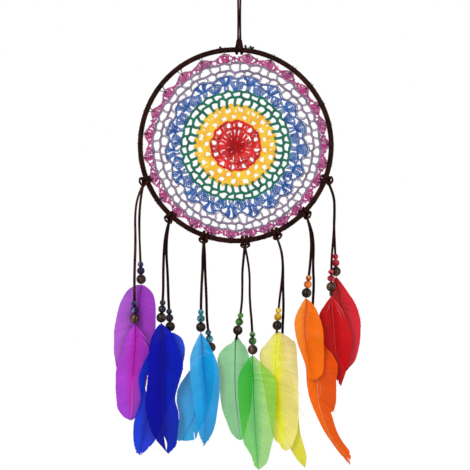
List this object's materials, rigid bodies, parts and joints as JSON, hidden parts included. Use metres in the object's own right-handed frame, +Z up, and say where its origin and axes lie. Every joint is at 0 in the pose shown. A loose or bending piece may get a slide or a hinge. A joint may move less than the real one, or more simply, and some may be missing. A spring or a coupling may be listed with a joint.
{
  "type": "dream catcher",
  "caption": "Lace-wound hoop with a rainbow crochet web, hung by an eye, with laces, beads and dyed feathers below it.",
  "frame": {"origin": "centre of the hanging eye", "axes": "+Z up, -Y the front that faces the viewer, +X to the viewer's right; the hoop lies in the XZ plane"},
  "size_m": [0.254, 0.0308, 0.5029],
  "materials": {
    "lace": "very dark brown suede",
    "ring_steel": "bare steel rod, hidden by the wrap",
    "thread": "dark waxed thread",
    "yarn_red": "cotton crochet yarn",
    "yarn_yellow": "cotton crochet yarn",
    "yarn_green": "cotton crochet yarn",
    "yarn_blue": "cotton crochet yarn",
    "yarn_lilac": "cotton crochet yarn",
    "yarn_magenta": "cotton crochet yarn",
    "crimp_wire": "coiled wire",
    "beads_purple": "two coloured beads and a glossy dark brown one",
    "beads_blue": "two coloured beads and a glossy dark brown one",
    "beads_light_blue": "two coloured beads and a glossy dark brown one",
    "beads_green": "two coloured beads and a glossy dark brown one",
    "beads_yellow": "two coloured beads and a glossy dark brown one",
    "beads_orange": "two coloured beads and a glossy dark brown one",
    "beads_red": "two coloured beads and a glossy dark brown one",
    "feather_purple_left": "dyed feather, matt with a soft sheen",
    "feather_purple_right": "dyed feather, matt with a soft sheen",
    "feather_blue_left": "dyed feather, matt with a soft sheen",
    "feather_blue_right": "dyed feather, matt with a soft sheen",
    "feather_light_blue_left": "dyed feather, matt with a soft sheen",
    "feather_light_blue_right": "dyed feather, matt with a soft sheen",
    "feather_green_left": "dyed feather, matt with a soft sheen",
    "feather_green_right": "dyed feather, matt with a soft sheen",
    "feather_yellow_left": "dyed feather, matt with a soft sheen",
    "feather_yellow_right": "dyed feather, matt with a soft sheen",
    "feather_orange_left": "dyed feather, matt with a soft sheen",
    "feather_orange_right": "dyed feather, matt with a soft sheen",
    "feather_red_left": "dyed feather, matt with a soft sheen",
    "feather_red_right": "dyed feather, matt with a soft sheen"
  },
  "bodies": {
    "hanger": {"hanging_eye": "lace", "eye_knot": "lace"},
    "hanger_cord": {"hanger_strands": "lace", "hanger_larks_head": "lace"},
    "hoop": {"hoop_ring": "ring_steel", "hoop_wrap": "lace", "tassel_knots": "lace", "web_red": "yarn_red", "web_yellow": "yarn_yellow", "web_green": "yarn_green", "web_blue": "yarn_blue", "web_lilac": "yarn_lilac", "web_magenta": "yarn_magenta", "web_lashing": "thread", "thread_ends": "thread"},
    "strand_purple_left": {"cord_purple_left": "lace", "beads_purple_left": "beads_purple", "feather_purple_left": "feather_purple_left"},
    "strand_purple_right": {"cord_purple_right": "lace", "beads_purple_right": "beads_purple", "feather_purple_right": "feather_purple_right"},
    "strand_blue_left": {"cord_blue_left": "lace", "beads_blue_left": "beads_blue", "feather_blue_left": "feather_blue_left"},
    "strand_blue_right": {"cord_blue_right": "lace", "beads_blue_right": "beads_blue", "feather_blue_right": "feather_blue_right"},
    "strand_light_blue_left": {"cord_light_blue_left": "lace", "beads_light_blue_left": "beads_light_blue", "feather_light_blue_left": "feather_light_blue_left"},
    "strand_light_blue_right": {"cord_light_blue_right": "lace", "beads_light_blue_right": "beads_light_blue", "feather_light_blue_right": "feather_light_blue_right"},
    "strand_green_left": {"cord_green_left": "lace", "beads_green_left": "beads_green", "feather_green_left": "feather_green_left"},
    "strand_green_right": {"cord_green_right": "lace", "beads_green_right": "beads_green", "feather_green_right": "feather_green_right"},
    "strand_yellow_left": {"cord_yellow_left": "lace", "beads_yellow_left": "beads_yellow", "feather_yellow_left": "feather_yellow_left"},
    "strand_yellow_right": {"cord_yellow_right": "lace", "beads_yellow_right": "beads_yellow", "feather_yellow_right": "feather_yellow_right"},
    "strand_orange_left": {"cord_orange_left": "lace", "beads_orange_left": "beads_orange", "feather_orange_left": "feather_orange_left"},
    "strand_orange_right": {"cord_orange_right": "lace", "beads_orange_right": "beads_orange", "feather_orange_right": "feather_orange_right"},
    "strand_red_left": {"cord_red_left": "lace", "beads_red_left": "beads_red", "feather_red_left": "feather_red_left", "feather_crimp": "crimp_wire"},
    "strand_red_right": {"cord_red_right": "lace", "beads_red_right": "beads_red", "feather_red_right": "feather_red_right"}
  },
  "joints": [
    {"name": "hoop_turn", "type": "hinge", "parent": "hanger", "child": "hanger_cord", "pos_m": [0, 0, -0.0138], "axis": [0, 0, 1], "range_deg": [-90, 90]},
    {"name": "hoop_rock", "type": "hinge", "parent": "hanger_cord", "child": "hoop", "pos_m": [0, 0, -0.06766], "axis": [1, 0, 0], "range_deg": [-15, 15]},
    {"name": "purple_left_swing", "type": "hinge", "parent": "hoop", "child": "strand_purple_left", "pos_m": [-0.09811, -0.0013, -0.20561], "axis": [0, 1, 0], "range_deg": [-6, 6]},
    {"name": "purple_right_swing", "type": "hinge", "parent": "hoop", "child": "strand_purple_right", "pos_m": [-0.09811, 0.0013, -0.20561], "axis": [0, 1, 0], "range_deg": [-6, 6]},
    {"name": "blue_left_swing", "type": "hinge", "parent": "hoop", "child": "strand_blue_left", "pos_m": [-0.07135, -0.0013, -0.24238], "axis": [0, 1, 0], "range_deg": [-6, 6]},
    {"name": "blue_right_swing", "type": "hinge", "parent": "hoop", "child": "strand_blue_right", "pos_m": [-0.07135, 0.0013, -0.24238], "axis": [0, 1, 0], "range_deg": [-6, 6]},
    {"name": "light_blue_left_swing", "type": "hinge", "parent": "hoop", "child": "strand_light_blue_left", "pos_m": [-0.03605, -0.0013, -0.26262], "axis": [0, 1, 0], "range_deg": [-6, 6]},
    {"name": "light_blue_right_swing", "type": "hinge", "parent": "hoop", "child": "strand_light_blue_right", "pos_m": [-0.03605, 0.0013, -0.26262], "axis": [0, 1, 0], "range_deg": [-4, 6]},
    {"name": "green_left_swing", "type": "hinge", "parent": "hoop", "child": "strand_green_left", "pos_m": [0.00578, 0.0013, -0.26748], "axis": [0, 1, 0], "range_deg": [-6, 3]},
    {"name": "green_right_swing", "type": "hinge", "parent": "hoop", "child": "strand_green_right", "pos_m": [0.00578, -0.0013, -0.26748], "axis": [0, 1, 0], "range_deg": [-6, 6]},
    {"name": "yellow_left_swing", "type": "hinge", "parent": "hoop", "child": "strand_yellow_left", "pos_m": [0.03836, -0.0013, -0.25901], "axis": [0, 1, 0], "range_deg": [-6, 6]},
    {"name": "yellow_right_swing", "type": "hinge", "parent": "hoop", "child": "strand_yellow_right", "pos_m": [0.03836, 0.0013, -0.25901], "axis": [0, 1, 0], "range_deg": [-6, 6]},
    {"name": "orange_left_swing", "type": "hinge", "parent": "hoop", "child": "strand_orange_left", "pos_m": [0.06883, -0.0013, -0.23822], "axis": [0, 1, 0], "range_deg": [-6, 6]},
    {"name": "orange_right_swing", "type": "hinge", "parent": "hoop", "child": "strand_orange_right", "pos_m": [0.06883, 0.0013, -0.23822], "axis": [0, 1, 0], "range_deg": [-6, 6]},
    {"name": "red_left_swing", "type": "hinge", "parent": "hoop", "child": "strand_red_left", "pos_m": [0.09158, -0.0013, -0.20449], "axis": [0, 1, 0], "range_deg": [-6, 6]},
    {"name": "red_right_swing", "type": "hinge", "parent": "hoop", "child": "strand_red_right", "pos_m": [0.09158, 0.0013, -0.20449], "axis": [0, 1, 0], "range_deg": [-6, 6]}
  ]
}
